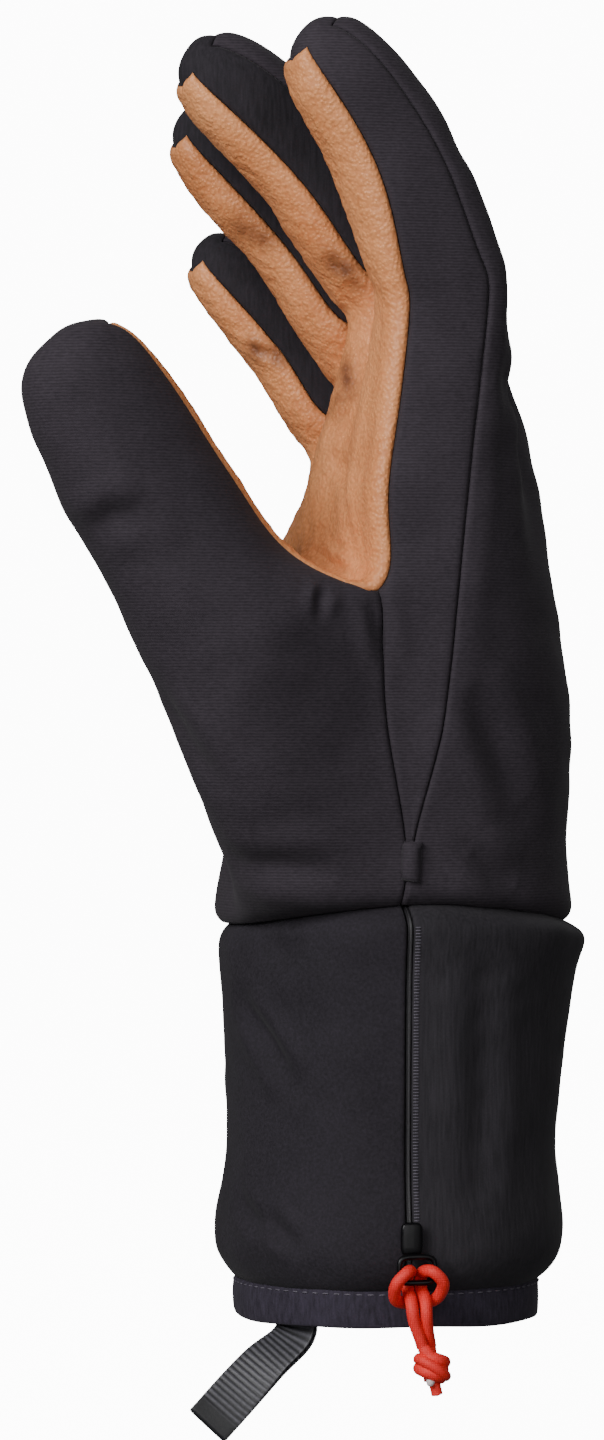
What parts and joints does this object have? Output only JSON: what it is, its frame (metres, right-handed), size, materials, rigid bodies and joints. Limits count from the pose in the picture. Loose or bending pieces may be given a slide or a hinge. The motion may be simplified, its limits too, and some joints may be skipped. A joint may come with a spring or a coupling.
{
  "type": "heated glove, right hand",
  "caption": "Black softshell right-hand glove with tan leather palm and finger fronts, long zipped cuff, red cord zip pull and a ribbon hanging loop.",
  "frame": {"origin": "middle of the opening at the hem, level with the hem's lower edge", "axes": "+Z from the hem to the fingertips, +X the back of the hand, -Y the thumb side"},
  "size_m": [0.1307, 0.0991, 0.2982],
  "materials": {
    "softshell": "matt fine-woven softshell",
    "ribbed_softshell": "matt softshell with fine upright ribs",
    "leather": "soft pebbled glove leather, satin",
    "binding": "smooth elastic binding",
    "zip": "fine coil zip, closed",
    "slider_metal": "black lacquer",
    "cord": "braided cord",
    "ribbon": "ribbed grosgrain ribbon"
  },
  "bodies": {
    "root": {"palm_leather": "leather", "thumb_panel": "softshell", "back_panel": "softshell", "index_side_panel": "softshell", "fourchette_index_middle": "softshell", "fourchette_middle_ring": "softshell", "fourchette_ring_little": "softshell", "cuff_palm": "softshell", "cuff_back": "ribbed_softshell", "zip_chain": "zip", "hem_band": "binding", "zip_slider": "slider_metal", "zip_ring": "slider_metal", "pull_cord": "cord", "pull_knot": "cord", "hang_loop": "ribbon"}
  },
  "joints": []
}
